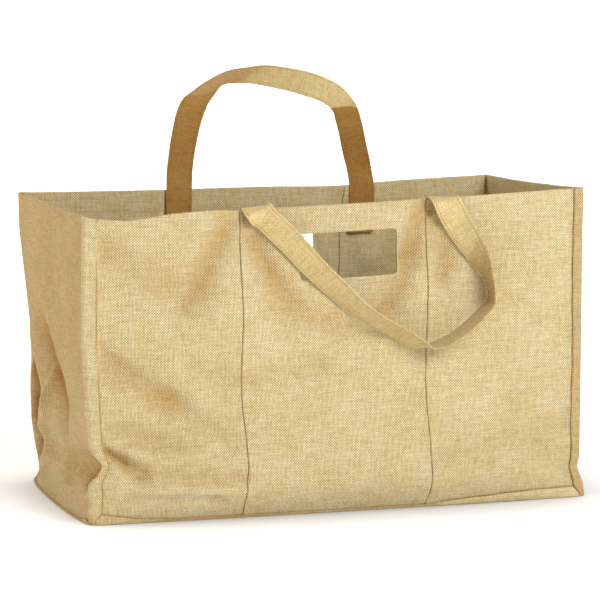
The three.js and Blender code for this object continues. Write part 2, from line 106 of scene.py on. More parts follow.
# Corner posts: place at the floor, rim height, and how far the post leans out sideways at each height
CORNERS = {
    "front_left": {
        "x": -WIDTH / 2, "y": -DEPTH / 2, "rim": 350,
        "lean": [
            (0, -4), (13, -3), (36, -4), (47, -2), (57, -11),
            (68, -17), (82, -6), (120, -1), (210, 4), (350, 2),
        ],
    },
    "front_right": {
        "x": WIDTH / 2, "y": -DEPTH / 2, "rim": 370,
        "lean": [(0, 4), (13, 4), (36, -5), (47, -2), (370, 0)],
    },
    "back_right": {
        "x": WIDTH / 2, "y": DEPTH / 2, "rim": 367,
        "lean": [(0, 1), (13, 1), (47, -5), (104, -3), (367, 2)],
    },
    "back_left": {
        "x": -WIDTH / 2, "y": DEPTH / 2, "rim": 357,
        "lean": [(0, -7), (13, -14), (36, -10), (82, -3), (200, -3), (310, 9), (357, 10)],
    },
}

# Walls in order round the bag: corners, outward direction, sag of the rim, profile at mid wall and seed
WALLS = {
    "front": {
        "from": "front_left", "to": "front_right", "outward": (0, -1), "sag": 3, "seed": 3,
        "profile": [
            (0, 5), (13, 14), (24, 21), (36, 26), (47, 27),
            (57, 26), (120, 20), (200, 13), (290, 5), (352, 0),
        ],
    },
    "right": {
        "from": "front_right", "to": "back_right", "outward": (1, 0), "sag": 2, "seed": 5,
        "profile": [(0, 10), (13, 12), (47, 15), (130, 11), (260, 4), (368, 0)],
    },
    "back": {
        "from": "back_right", "to": "back_left", "outward": (0, 1), "sag": 4, "seed": 8,
        "profile": [(0, 4), (13, 12), (24, 18), (47, 22), (120, 17), (220, 9), (362, 0)],
    },
    "left": {
        "from": "back_left", "to": "front_left", "outward": (-1, 0), "sag": 0, "seed": 13,
        "profile": [(0, 9), (13, 9), (47, 6), (130, 4), (250, 1), (352, 0)],
    },
}

# Dips in a wall's rim: place along it, half width and depth
RIM_DIPS = {"front": [(-254, 42, 7), (-116, 22, 2.5), (122, 18, 2)], "back": [(90, 60, 3)]}

# Height of the base's lip by distance from the corner, at the lower and at the upper end of each wall's run
SIDE_LIP = [(10, 6), (26, 3.2)]
BACK_LIP = [(14, 13), (60, 10.5), (110, 7), (170, 4.5)]
FRONT_LIP_LEFT = [(14, 12.5), (50, 6), (100, 2.9)]
FRONT_LIP_RIGHT = [(14, 13), (60, 12.8), (100, 11), (131, 9), (163, 7), (195, 2.9)]
LIPS = {
    "front": (FRONT_LIP_LEFT, FRONT_LIP_RIGHT),
    "right": (SIDE_LIP, SIDE_LIP),
    "back": (BACK_LIP, BACK_LIP),
    "left": (SIDE_LIP, SIDE_LIP),
}

# Section of the lip: offset from the wall, share of the lip's height and height added
LIP_SECTION = [
    (TURN_GAP, 0, 0), (TURN_OUT - 0.6, 0, 0.25), (TURN_OUT, 0, 1),
    (TURN_OUT, 0.5, 0), (TURN_OUT + 0.2, 1, -0.9), (TURN_OUT - 0.1, 1, -0.25),
    (TURN_OUT - 0.9, 1, 0), (TURN_GAP + 0.2, 1, -0.2), (TURN_GAP, 0, BASE_THICK),
]

# Main folds of a wall: start (along, z), end (along, z), half width and how far it stands out
FOLDS = {
    "front": [
        (-288, 86, -244, 60, 12, -10),
        (-133, 345, -168, 266, 20, -6),
        (-168, 266, -190, 236, 20, -4),
        (-290, 190, -212, 138, 20, -6),
        (-212, 138, -150, 110, 20, -5),
        (-260, 112, -208, 92, 16, -5),
        (-108, 348, -66, 216, 14, -5),
        (104, 354, 80, 300, 16, -6),
        (80, 300, 60, 240, 16, -4),
        (112, 350, 128, 280, 14, -5),
        (292, 40, 240, 62, 14, -5),
    ],
    "left": [
        (128, 172, 66, 142, 12, 4),
        (152, 160, 112, 126, 18, -11),
        (112, 126, 132, 90, 18, -11),
        (132, 90, 106, 58, 16, -10),
        (106, 58, 136, 26, 14, -9),
        (62, 200, -54, 128, 22, -7),
        (12, 150, 28, 116, 14, 3.5),
        (24, 116, 54, 84, 16, 3.5),
        (54, 84, 30, 57, 14, 3.5),
        (34, 57, 98, 18, 14, 3.5),
        (-140, 70, -60, 44, 20, -7),
    ],
    "right": [
        (-140, 40, -40, 60, 20, -6),
        (140, 90, 30, 130, 24, -6),
    ],
    "back": [
        (-290, 120, -180, 90, 22, -6),
        (290, 140, 190, 100, 22, -6),
        (-118, 350, -160, 260, 20, -5),
        (118, 350, 140, 270, 18, -5),
    ],
}

# Finer creases of a wall: path of (along, z), half widths on the left and the right of the path, height
CREASES = {
    "front": [
        ([(-284, 84), (-258, 64)], 3.5, 7, -4),
        ([(-284, 97), (-246, 75)], 9, 9, 3),
        ([(-280, 66), (-256, 51)], 8, 8, 2.5),
        ([(-248, 66), (-232, 54)], 12, 12, 4),
        ([(-252, 56), (-188, 49), (-124, 46)], 11, 8, -6),
        ([(-279, 36), (-124, 33)], 7, 7, 2.4),
        ([(-262, 30), (-150, 24)], 5, 5, -3),
        ([(-134, 334), (-152, 308), (-171, 275), (-188, 242)], 8, 10, -4.5),
        ([(-286, 312), (-251, 291), (-206, 268)], 20, 20, -6.5),
        ([(-286, 197), (-242, 164), (-197, 135), (-135, 87)], 8, 14, -3.8),
        ([(-283, 109), (-221, 93)], 7, 11, -4),
        ([(-106, 318), (-102, 305), (-88, 278), (-53, 237), (-6, 213), (33, 211)], 12, 12, -7),
        ([(-185, 178), (-127, 158), (-31, 175)], 14, 14, -4),
        ([(93, 334), (79, 279), (56, 239), (41, 225)], 10, 9, -5.5),
        ([(121, 332), (129, 295), (122, 260)], 9, 9, -5),
        ([(106, 358), (111, 343)], 3, 3, -2.5),
        ([(117, 354), (110, 343)], 3, 3, -2),
        ([(113, 55), (191, 76), (288, 99)], 15, 15, -4),
        ([(126, 230), (127, 150), (131, 70), (136, 30)], 2.5, 2.5, -1.2),
        ([(240, 70), (294, 86)], 9, 9, -3),
    ],
    "left": [
        ([(-150, 64), (-136, 46)], 8, 8, -12),
        ([(12, 150), (24, 116), (52, 84), (28, 57), (94, 18)], 14, 7, 3),
        ([(150, 158), (118, 124), (134, 88), (112, 58), (138, 28)], 12, 12, -5),
        ([(66, 200), (14, 172), (-24, 146), (-52, 116), (-60, 96)], 30, 3.5, -7),
        ([(6, 158), (24, 116)], 18, 5, 2.5),
    ],
    "right": [
        ([(-120, 300), (-20, 220), (60, 190)], 16, 16, -2),
        ([(130, 250), (40, 180)], 14, 14, -2),
    ],
    "back": [
        ([(-250, 250), (-140, 180), (20, 170)], 16, 16, -2.4),
        ([(240, 260), (150, 190), (60, 180)], 16, 16, -2.4),
    ],
}

# Low waves over each wall: step from the wall's seed, length and height
WAVES = [(0, 90, 0.55), (1, 26, 0.16)]

# Painted shade in a wall's hollows: path of (along, z), half width and shade
HOLLOW_SHADES = {
    "left": [
        ([(152, 150), (124, 124), (140, 88), (118, 58), (142, 28)], 20, 0.55),
        ([(-154, 66), (-148, 50)], 6, 1.3),
        ([(54, 188), (-44, 118)], 9, 0.25),
    ],
    "front": [([(-286, 85), (-262, 67)], 5, 0.7)],
}

# Depth of a fold at which its painted shade is full
FULL_SHADE_DEPTH = 15

# Sideways run of the two seams by height, and the ripples on it: height, length and turns of the start
SEAM_PATHS = {
    SEAM_LEFT: [
        (0, 2.3), (36, 3.2), (62, 6.2), (89, 4), (121, 0.8), (142, -0.3), (168, -0.5), (243, 4), (283, 2.7),
        (350, 4),
    ],
    SEAM_RIGHT: [
        (0, -3), (12, 1.9), (33, 1.9), (55, 2.2), (86, -0.4), (118, -2.7), (150, -5.4), (174, -3.2),
        (201, -2.3), (252, 2), (287, 2.1), (330, 2.6), (357, 6),
    ],
}
SEAM_RIPPLES = [(0.5, 31, 1), (0.3, 9.3, 2)]

# Seam: ridge of the lap with its pucker, notch at the lap's edge, and where the layer under it steps down
SEAM_RIDGE = {"place": 2.6, "width": 3, "height": 0.6}
SEAM_PUCKER = {"share": 0.35, "length": 3.1, "beat": 17}
SEAM_NOTCH = {"width": 0.9, "depth": 0.7}
SEAM_STEP = (-0.9, 0.2)

# Groove of a panel beside a side wall's turned edge, with a painted shadow on the left alone
GROOVE = {"place": 1.0, "width": 0.9, "depth": 0.4, "left_shade": 1.2}

# Turned edge of a side wall: places across it, roll beside its edge, notch at it, and ripples
TURN_PLACES = (CORNER_FOLD, 13.5, 12.6, 11.4, 10, 8.4, 6.7, CORNER_ROUND)
TURN_ROLL = {"place": 1.4, "width": 1.1, "height": 0.5}
TURN_NOTCH = {"width": 0.45, "depth": 0.9}
TURN_RIPPLES = [(0.5, 27, 1), (0.25, 7.7, 0)]
TURN_RIPPLE_REACH = 3
TURN_CLEAR = 0.4
TURN_UNHEMMED = 400

# Front handle: strap centre, turn of its width from +X towards +Z and angle at which it stands out
FRONT_STRAP = [
    (-91, 342, 34, 32), (-66, 316, 46, 36), (-46, 293, 46, 40), (-16, 264, 48, 46), (14, 237, 53, 58),
    (46, 216, 58, 62), (70, 203, 58, 62), (84, 195.5, 52, 66), (97, 191, 20, 84), (115, 196, -60, 84),
    (144, 212, -56, 86), (162, 227, -52, 88), (171.5, 235.5, -48, 92), (175.5, 242, -30, 96),
    (176, 250, 0, 98), (172, 270, 10, 88), (165, 286, 24, 66), (154, 307, 27, 46), (140, 333, 24, 26),
]
FRONT_ROOTS = {
    "left": {"x": -101.5, "over": 2.4, "tilt": 6, "hang": 12},
    "right": {"x": 126, "over": 1.4, "tilt": -1, "hang": 10},
}
FRONT_TAIL = {"length": 46, "drop": 1, "stations": 5, "crest_behind": 2, "hang_before": 1.4 * STRAP_REST}

# Back handle: strap centre, how far it stands behind the rim, and its width as above
BACK_STRAP = [
    (-108, 384, -4, 184, 0), (-104, 414, -6, 189, -4), (-99, 438, -6, 192, -8), (-94, 453, -5, 192, -14),
    (-87, 465, -3, 184, -26), (-76, 475, 1, 164, -54), (-57, 489, 5, 125, -74), (-38, 495, 7, 101, -64),
    (-18, 496.5, 7, 74, -55), (4, 496.5, 5, 64, -36), (28, 493, 2, 68, -28), (58, 486, -2, 64, -20),
    (82, 477, -4, 63, -20), (96, 469, -5, 58, -16), (103, 461, -6, 46, -14), (108, 453, -6, 8, -6),
    (111, 444, -6, -8, 0), (115, 430, -6, -13, 0), (121, 404, -5, -9, 0), (127, 380, -4, -4, 0),
]
BACK_ROOTS = {"left": -111, "right": 129, "tail": 62, "drop": 2, "stations": 3}

# Lines across a strap where its painted shade changes: free station at the two edges, painted shade after
# it, softness
FRONT_SHADES = [
    (-6, -6, 0.0, 0.2), (4, 4, 0.14, 2.0), (8.5, 8.0, 0.28, 0.3), (11, 11, 0.36, 1.5),
    (16.4, 17.3, 0.0, 0.12),
]
BACK_SHADES = [
    (-4, -4, 1.0, 0.2), (5.55, 4.0, 0.75, 0.12), (7.4, 9.2, 0.28, 0.8), (10.5, 11.0, 0.06, 1.0),
    (13.6, 15.4, 1.22, 0.1), (17.4, 17.4, 1.36, 0.6),
]

# Share of the back strap's painted shade on its face that is turned away
BACK_FAR_SHADE = 0.35

# Places from the middle of a strap to its edge and its half thickness there, with the dip of its stitching
STRAP_HALF = [
    (0, 0.9), (4, 0.9), (8, 0.9), (12.3, 0.95), (STRAP_STITCH, 0.75),
    (14.1, 1.1), (15.2, 1.05), (16.1, 0.7), (16.5, 0.2),
]
STRAP_PROFILE = [(-place, half) for place, half in STRAP_HALF[:0:-1]] + STRAP_HALF
STRAP_WAVE = {"length": 46, "height": 0.35}
STITCH_SHADE = 0.2

# Dark lines of seams, and a painted shade line where a panel meets the lip. A mesh's painted shade runs
# from 0 to 1 for its folds and up to 2 for such lines
SEAM_LINE = {"shade": 1.35, "width_over": 0.5, "width_under": 0.7}
LIP_LINE = {"shade": 1.2, "width": 1.0, "above": 0.5}

# Painted shade of the side walls: low on the wall, its rise between two heights; and the darker tint on the
# right wall's front edge
SIDE_SHADE = {"low": 0.5, "rise": 0.38, "heights": (60, 220), "right_edge": 0.7}


def smooth(value, low, high):
    t = np.clip((value - low) / (high - low), 0, 1)
    return t * t * (3 - 2 * t)


def bell(distance, width):
    return np.exp(-((distance / width) ** 2))


def ripple(z, rows, start):
    return sum(height * np.sin(z / length + turns * start) for height, length, turns in rows)


def column(rows, place, shifts=(0,)):
    places, values = np.array(rows, float).T
    return sum(np.interp(place + shift, places, values) for shift in shifts) / len(shifts)


def post_lean(name, z):
    corner = CORNERS[name]
    return math.copysign(1, corner["x"]) * column(corner["lean"], z, LEAN_BLUR)


def axis_of(wall):
    return "x" if WALLS[wall]["outward"][0] == 0 else "y"


def half_length(wall):
    return WIDTH / 2 if axis_of(wall) == "x" else DEPTH / 2


def share(wall, along):
    axis = axis_of(wall)
    start = CORNERS[WALLS[wall]["from"]][axis]
    end = CORNERS[WALLS[wall]["to"]][axis]
    return (along - start) / (end - start)


def plan_point(wall, along, z):
    ends = [WALLS[wall]["from"], WALLS[wall]["to"]]
    if axis_of(wall) == "y":
        s = share(wall, along)
        low, high = (CORNERS[name]["x"] + post_lean(name, z) for name in ends)
        return low + (high - low) * s, along + 0 * z
    x = along + 0 * z
    for name in ends:
        x = x + post_lean(name, z) * np.exp(-np.abs(along - CORNERS[name]["x"]) / LEAN_REACH)
    return x, CORNERS[ends[0]]["y"] + 0 * x


def rim_height(wall, along):
    s = share(wall, along)
    low = CORNERS[WALLS[wall]["from"]]["rim"]
    high = CORNERS[WALLS[wall]["to"]]["rim"]
    z = low + (high - low) * s - WALLS[wall]["sag"] * 4 * s * (1 - s)
    for at, width, depth in RIM_DIPS.get(wall, ()):
        z = z - depth * bell(along - at, width)
    return z


# Distance from a path and whether a place lies on the left of its nearest stretch
def from_path(along, z, points):
    nearest, left = np.inf, False
    for (a0, z0), (a1, z1) in zip(points, points[1:]):
        da, dz = a1 - a0, z1 - z0
        t = np.clip(((along - a0) * da + (z - z0) * dz) / (da**2 + dz**2), 0, 1)
        away = np.hypot(along - a0 - t * da, z - z0 - t * dz)
        left = np.where(away < nearest, (z - z0) * da > (along - a0) * dz, left)
        nearest = np.minimum(away, nearest)
    return nearest, left


# Low uneven waves of about a length and a height over the cloth
def drift(along, z, seed, length, height, waves=7):
    rng = np.random.default_rng(seed)
    total = 0
    for _ in range(waves):
        angle = rng.uniform(0, math.pi)
        phase = rng.uniform(0, 2 * math.pi)
        stretch = rng.uniform(0.6, 1.6)
        run = along * math.cos(angle) + z * math.sin(angle)
        total = total + np.sin(run * 2 * math.pi / (length * stretch) + phase)
    return height * total / math.sqrt(waves)


def folded(wall, along, z):
    s = np.clip(share(wall, along), 0, 1)
    edge = np.minimum(s, 1 - s)
    reach = 2 * half_length(wall)
    clear = CORNER_FOLD if axis_of(wall) == "x" else 0
    out = sum(drift(along, z, WALLS[wall]["seed"] + step, length, height) for step, length, height in WAVES)
    for a0, z0, a1, z1, width, height in FOLDS[wall]:
        away, _ = from_path(along, z, [(a0, z0), (a1, z1)])
        out = out + height * bell(away, width)
    out = out * smooth(edge, 0, FOLD_FADE) * smooth(z, BASE_LIP, 3 * BASE_LIP)
    for path, left, right, height in CREASES[wall]:
        away, on_left = from_path(along, z, path)
        crease = height * bell(away, np.where(on_left, left, right))
        out = out + crease * smooth(edge * reach, clear, clear + CREASE_FADE) * smooth(z, *CREASE_FOOT)
    return out


def face_point(wall, along, z):
    along, z = np.broadcast_arrays(np.asarray(along, float), np.asarray(z, float))
    s = np.clip(share(wall, along), 0, 1)
    bulge = column(WALLS[wall]["profile"], z, BLUR) * (1 - np.abs(2 * s - 1) ** 3)
    out = bulge + folded(wall, along, z)
    x, y = plan_point(wall, along, z)
    ox, oy = WALLS[wall]["outward"]
    return np.stack([x + ox * out, y + oy * out, z], -1)


# Point of a wall at an offset along its outward normal
def wall_point(wall, along, z, offset):
    along, z, offset = np.broadcast_arrays(*(np.asarray(v, float) for v in (along, z, offset)))
    across = face_point(wall, along + NORMAL_STEP, z) - face_point(wall, along - NORMAL_STEP, z)
    up = face_point(wall, along, z + NORMAL_STEP) - face_point(wall, along, z - NORMAL_STEP)
    normal = np.cross(across, up)
    normal /= np.linalg.norm(normal, axis=-1, keepdims=True)
    ox, oy = WALLS[wall]["outward"]
    normal *= np.where(normal[..., :1] * ox + normal[..., 1:2] * oy < 0, -1, 1)
    return face_point(wall, along, z) + normal * offset[..., None]


def grid_faces(index):
    return np.stack([index[:-1, :-1], index[:-1, 1:], index[1:, 1:], index[1:, :-1]], -1).reshape(-1, 4)


# Closed sheet between two grids of points
def shell(outer, inner):
    rows, cols = outer.shape[:2]
    o = np.arange(rows * cols).reshape(rows, cols)
    n = o + rows * cols
    strips = [(n[0], o[0]), (o[-1], n[-1]), (o[:, 0], n[:, 0]), (n[:, -1], o[:, -1])]
    faces = [grid_faces(o), grid_faces(n[:, ::-1])] + [grid_faces(np.stack(s)) for s in strips]
    return np.concatenate([outer.reshape(-1, 3), inner.reshape(-1, 3)]), np.concatenate(faces)


# One unit of the cloth's map is this long
MAP_UNIT = 100


def make_piece(name, points, faces, material, uv=None, shade_and_lines=None):
    mesh = bpy.data.meshes.new(name)
    mesh.from_pydata((np.asarray(points) * MM).tolist(), [], [list(map(int, f)) for f in faces])
    bm = bmesh.new()
    bm.from_mesh(mesh)
    bmesh.ops.recalc_face_normals(bm, faces=bm.faces)
    bm.to_mesh(mesh)
    bm.free()
    if uv is not None:
        corner = np.zeros(len(mesh.loops), np.int32)
        mesh.loops.foreach_get("vertex_index", corner)
        layer = mesh.uv_layers.new(name="cloth")
        layer.data.foreach_set("uv", (np.asarray(uv, np.float32)[corner] / MAP_UNIT).ravel())
    # Painted shade of folds and shaded parts for each point, with dark lines above 1
    attribute = mesh.attributes.new("shade_and_lines", "FLOAT", "POINT")
    if shade_and_lines is not None:
        attribute.data.foreach_set("value", np.asarray(shade_and_lines, np.float32).ravel())
    mesh.polygons.foreach_set("use_smooth", np.ones(len(mesh.polygons), bool))
    mesh.set_sharp_from_angle(angle=SHARP_ANGLE)
    mesh.materials.append(material)
    piece = bpy.data.objects.new(name, mesh)
    bpy.context.scene.collection.objects.link(piece)
    return piece


class Graph:
    """Node tree of a material, with short calls for its nodes."""

    def __init__(self, name):
        self.material = bpy.data.materials.new(name)
        self.material.use_nodes = True
        self.tree = self.material.node_tree
        self.shader = self.tree.nodes["Principled BSDF"]

    def node(self, kind, *values, **settings):
        node = self.tree.nodes.new(kind)
        for key, value in settings.items():
            setattr(node, key, value)
        for socket, value in zip(node.inputs, values):
            self.put(socket, value)
        return node

    def put(self, socket, value):
        if isinstance(value, bpy.types.NodeSocket):
            self.tree.links.new(value, socket)
        elif value is not None:
            socket.default_value = value

    def surface(self, values):
        for name, value in values.items():
            self.shader.inputs[name].default_value = value

    def math(self, operation, *values):
        return self.node("ShaderNodeMath", *values, operation=operation).outputs[0]

    def vector(self, x, y, z=0.0):
        return self.node("ShaderNodeCombineXYZ", x, y, z).outputs[0]

    def grey(self, value):
        return self.node("ShaderNodeCombineColor", value, value, value).outputs[0]

    def noise(self, vector, scale, detail=2.0, rough=0.5):
        node = self.node("ShaderNodeTexNoise")
        self.put(node.inputs["Vector"], vector)
        node.inputs["Scale"].default_value = scale
        node.inputs["Detail"].default_value = detail
        node.inputs["Roughness"].default_value = rough
        return node.outputs[0]

    def ramp(self, value, places, colours):
        node = self.node("ShaderNodeValToRGB", value)
        elements = node.color_ramp.elements
        while len(elements) < len(places):
            elements.new(0.5)
        for element, place, colour in zip(elements, places, colours):
            element.position = place
            element.color = (*colour, 1)
        return node.outputs[0]

    def map(self, value, low, high, to_low=0.0, to_high=1.0):
        values = (value, low, high, to_low, to_high)
        return self.node("ShaderNodeMapRange", *values, interpolation_type="SMOOTHSTEP").outputs[0]

    def mix(self, factor, a, b, blend="MIX"):
        node = self.node("ShaderNodeMix", data_type="RGBA", blend_type=blend)
        for socket, value in zip((node.inputs[0], node.inputs[6], node.inputs[7]), (factor, a, b)):
            self.put(socket, (*value, 1) if isinstance(value, tuple) else value)
        return node.outputs[2]


# Threads: scale of their sway, how far they stand out and bow, and heights where a gap is dark and clear
SWAY_SCALE = 5.0
THREAD_CREST = 0.55
THREAD_BOW = 0.45
GAP_HEIGHTS = (0.12, 0.6)

# Tones at which a cloth's four colours lie, from dark to light
TONES = (0.2, 0.45, 0.6, 0.85)

# Tone along one thread: its number times a step, runs along it, and a level that keeps warp and weft apart
WARP_TONE = {"step": 7.31, "run": 9.0, "level": 1.0}
WEFT_TONE = {"step": 5.17, "run": 6.0, "level": 9.0}
WARP_CONTRAST = 0.7
WEFT_CONTRAST = 1.4
BLOTCH = {"scale": 1.3, "amount": 0.25}

# Thick and thin stretches of thread: stretch of a noise along and across, and how much it adds
SLUBS = [((3.0, 48.0, 1.0), 0.32), ((48.0, 3.0, 1.0), 0.22)]

# Tinted patches and threads, rare specks and stitches
WARM_PATCHES = {"aside": (7.0, 3.0, 0.0), "scale": 2.3, "limits": (0.4, 0.65), "tint": (1.0, 0.97, 0.90)}
GREY_THREADS = {"steps": (3.7, 2.9), "level": 4.0, "limits": (0.5, 0.68), "tint": (0.90, 0.93, 1.0)}
SPECKS = {"scale": 22.0, "radii": (0.03, 0.09), "strength": 0.75, "tint": (0.20, 0.11, 0.045)}
SPECK_PATCHES = {"scale": 9.0, "least": 0.62}
STITCHES = {"per_unit": 24.0, "share": 0.62, "half_width": 0.005, "tint": (0.82, 0.72, 0.57)}
SEAM_TINT = (0.70, 0.50, 0.27)

# Relief of threads and fibres, with its height in metres, and the surface of the cloth
FIBRES = {"scale": 160.0, "height": 0.15}
TONE_RELIEF = 0.4
RELIEF_HEIGHT = 0.0007
CLOTH_SURFACE = {
    "Roughness": 0.93, "Specular IOR Level": 0.12,
    "Sheen Weight": 0.2, "Sheen Roughness": 0.5, "Sheen Tint": (1.0, 0.93, 0.8, 1),
}


# Plain-woven jute: colours from dark to light, threads in a map unit, and how much the weave shows
def jute(name, colours, threads, checker, gap_shade, bump, shade_and_line_tint, stitch=None):
    g = Graph(name)
    uv = g.node("ShaderNodeUVMap", uv_map="cloth").outputs[0]
    split = g.node("ShaderNodeSeparateXYZ", uv)
    u, v = split.outputs[0], split.outputs[1]

    # Threads over and under each other
    sway = g.math("SUBTRACT", g.noise(uv, SWAY_SCALE, detail=1.0), 0.5)
    x = g.math("ADD", g.math("MULTIPLY", u, threads), sway)
    y = g.math("ADD", g.math("MULTIPLY", v, threads), sway)
    ix, iy = g.math("FLOOR", x), g.math("FLOOR", y)
    across = g.math("SINE", g.math("MULTIPLY", g.math("FRACT", x), math.pi))
    upward = g.math("SINE", g.math("MULTIPLY", g.math("FRACT", y), math.pi))
    parity = g.math("PINGPONG", g.math("ADD", ix, iy), 1.0)
    sign = g.math("MULTIPLY_ADD", parity, -2.0, 1.0)
    bow = g.math("MULTIPLY", g.math("MULTIPLY", across, upward), g.math("MULTIPLY", sign, THREAD_BOW))
    warp = g.math("ADD", g.math("MULTIPLY", across, THREAD_CREST), bow)
    weft = g.math("SUBTRACT", g.math("MULTIPLY", upward, THREAD_CREST), bow)
    height = g.math("MAXIMUM", warp, weft)
    over = g.math("GREATER_THAN", warp, weft)

    # Tone of each thread, with blotches and slubs
    warp_step = g.math("MULTIPLY", ix, WARP_TONE["step"])
    warp_run = g.math("MULTIPLY", v, WARP_TONE["run"])
    warp_tone = g.noise(g.vector(warp_step, warp_run, WARP_TONE["level"]), 1.0, detail=3.0, rough=0.6)
    weft_step = g.math("MULTIPLY", iy, WEFT_TONE["step"])
    weft_run = g.math("MULTIPLY", u, WEFT_TONE["run"])
    weft_tone = g.noise(g.vector(weft_run, weft_step, WEFT_TONE["level"]), 1.0, detail=3.0, rough=0.6)
    tone = g.node("ShaderNodeMix", over, None, weft_tone, warp_tone, data_type="FLOAT").outputs[0]
    contrast = g.math("MULTIPLY_ADD", over, WARP_CONTRAST - WEFT_CONTRAST, WEFT_CONTRAST)
    tone = g.math("MULTIPLY_ADD", g.math("SUBTRACT", tone, 0.5), contrast, 0.5)
    blotch = g.math("SUBTRACT", g.noise(uv, BLOTCH["scale"], detail=3.0), 0.5)
    tone = g.math("ADD", tone, g.math("MULTIPLY", blotch, BLOTCH["amount"]))
    for stretch, amount in SLUBS:
        along = g.node("ShaderNodeVectorMath", uv, stretch, operation="MULTIPLY").outputs[0]
        slub = g.math("SUBTRACT", g.noise(along, 1.0), 0.5)
        tone = g.math("MULTIPLY_ADD", slub, amount, tone)
    colour = g.ramp(tone, TONES, colours)

    # Warm patches and greyer threads
    aside = g.node("ShaderNodeVectorMath", uv, WARM_PATCHES["aside"]).outputs[0]
    warm = g.map(g.noise(aside, WARM_PATCHES["scale"]), *WARM_PATCHES["limits"])
    colour = g.mix(warm, colour, WARM_PATCHES["tint"], "MULTIPLY")
    cross = [g.math("MULTIPLY", number, step) for number, step in zip((ix, iy), GREY_THREADS["steps"])]
    grey = g.map(g.noise(g.vector(*cross, GREY_THREADS["level"]), 1.0, detail=1.0), *GREY_THREADS["limits"])
    colour = g.mix(grey, colour, GREY_THREADS["tint"], "MULTIPLY")

    # Painted shade in the gaps between threads, and squares of the weave painted lighter and darker as if
    # lit from one side
    square = g.math("MULTIPLY_ADD", over, 2 * checker, 1 - checker)
    shade = g.math("MULTIPLY", g.map(height, *GAP_HEIGHTS, gap_shade, 1.0), square)
    colour = g.mix(1.0, colour, g.grey(shade), "MULTIPLY")

    # Painted shade of folds, hollows, side walls and strap ends, with dark lines of seams, lip and groove
    # darker still
    shade_and_lines = g.node("ShaderNodeAttribute", attribute_name="shade_and_lines").outputs["Fac"]
    colour = g.mix(shade_and_lines, colour, shade_and_line_tint, "MULTIPLY")
    colour = g.mix(g.map(shade_and_lines, 1.0, 2.0), colour, SEAM_TINT, "MULTIPLY")

    # Rare dark specks
    grain = g.node("ShaderNodeTexVoronoi", uv)
    grain.inputs["Scale"].default_value = SPECKS["scale"]
    speck = g.map(grain.outputs["Distance"], *SPECKS["radii"], SPECKS["strength"], 0.0)
    rare = g.math("GREATER_THAN", g.noise(uv, SPECK_PATCHES["scale"], detail=0.0), SPECK_PATCHES["least"])
    colour = g.mix(g.math("MULTIPLY", speck, rare), colour, SPECKS["tint"])

    if stitch is not None:
        beside = g.math("ABSOLUTE", g.math("SUBTRACT", g.math("ABSOLUTE", u), stitch))
        place = g.math("FRACT", g.math("MULTIPLY", v, STITCHES["per_unit"]))
        dash = g.math("LESS_THAN", place, STITCHES["share"])
        sewn = g.math("MULTIPLY", g.math("LESS_THAN", beside, STITCHES["half_width"]), dash)
        colour = g.mix(sewn, colour, STITCHES["tint"], "MULTIPLY")
    g.put(g.shader.inputs["Base Color"], colour)

    # Relief of threads and fibres
    fibre = g.math("MULTIPLY", g.noise(uv, FIBRES["scale"]), FIBRES["height"])
    relief = g.math("ADD", g.math("MULTIPLY", height, g.math("ADD", tone, TONE_RELIEF)), fibre)
    lift = g.node("ShaderNodeBump")
    lift.inputs["Strength"].default_value = bump
    lift.inputs["Distance"].default_value = RELIEF_HEIGHT
    g.put(lift.inputs["Height"], relief)
    g.put(g.shader.inputs["Normal"], lift.outputs[0])
    g.surface(CLOTH_SURFACE)
    return g.material


# Colours at the four tones. The base's are lighter than the body's: painted light on its lip, which faces
# the floor
BODY_COLOURS = [(0.42, 0.31, 0.14), (0.58, 0.46, 0.24), (0.67, 0.565, 0.34), (0.80, 0.72, 0.50)]
BASE_COLOURS = [(0.47, 0.345, 0.155), (0.65, 0.515, 0.26), (0.75, 0.63, 0.37), (0.87, 0.79, 0.55)]
STRAP_COLOURS = [(0.44, 0.31, 0.125), (0.60, 0.46, 0.21), (0.69, 0.56, 0.29), (0.80, 0.70, 0.43)]
# Weave of each cloth, with the tint that its painted shade multiplies in
BODY_WEAVE = {
    "threads": 66.0, "checker": 0.32, "gap_shade": 0.46, "bump": 0.6,
    "shade_and_line_tint": (0.80, 0.67, 0.49),
}
STRAP_WEAVE = {
    "threads": 80.0, "checker": 0.18, "gap_shade": 0.72, "bump": 0.4,
    "shade_and_line_tint": (0.58, 0.40, 0.22),
}
BODY_JUTE = jute("body_jute", BODY_COLOURS, **BODY_WEAVE)
BASE_JUTE = jute("base_jute", BASE_COLOURS, **BODY_WEAVE)
STRAP_JUTE = jute("strap_jute", STRAP_COLOURS, stitch=STRAP_STITCH / MAP_UNIT, **STRAP_WEAVE)

# Rows of a wall from foot to rim, closer at the foot, and the drops and insets of its round top edge
FOOT_SHARE = 0.05
ROWS = np.concatenate([np.linspace(0, FOOT_SHARE, 14, endpoint=False), np.linspace(FOOT_SHARE, 1, 106)])
TOP_DROPS = np.array([0.9, 0.35, 0.0])
TOP_INSETS = np.array([0.15, 0.5, 1.1])
TOP_START = 1.6


def wall_rows(foot, rim):
    main = foot + (rim - TOP_START - foot) * ROWS
    return np.concatenate([main, rim - TOP_DROPS])


# Offsets of a wall's outer and inner face, with the turned hem inside
def row_offsets(z, rim):
    outer = np.concatenate([np.zeros(len(ROWS)), -TOP_INSETS])
    thick = CLOTH + (HEM_THICK - CLOTH) * smooth(z, rim - HEM - HEM_STEP, rim - HEM)
    inner = -thick
    inner[-len(TOP_INSETS):] += TOP_INSETS
    return outer, inner


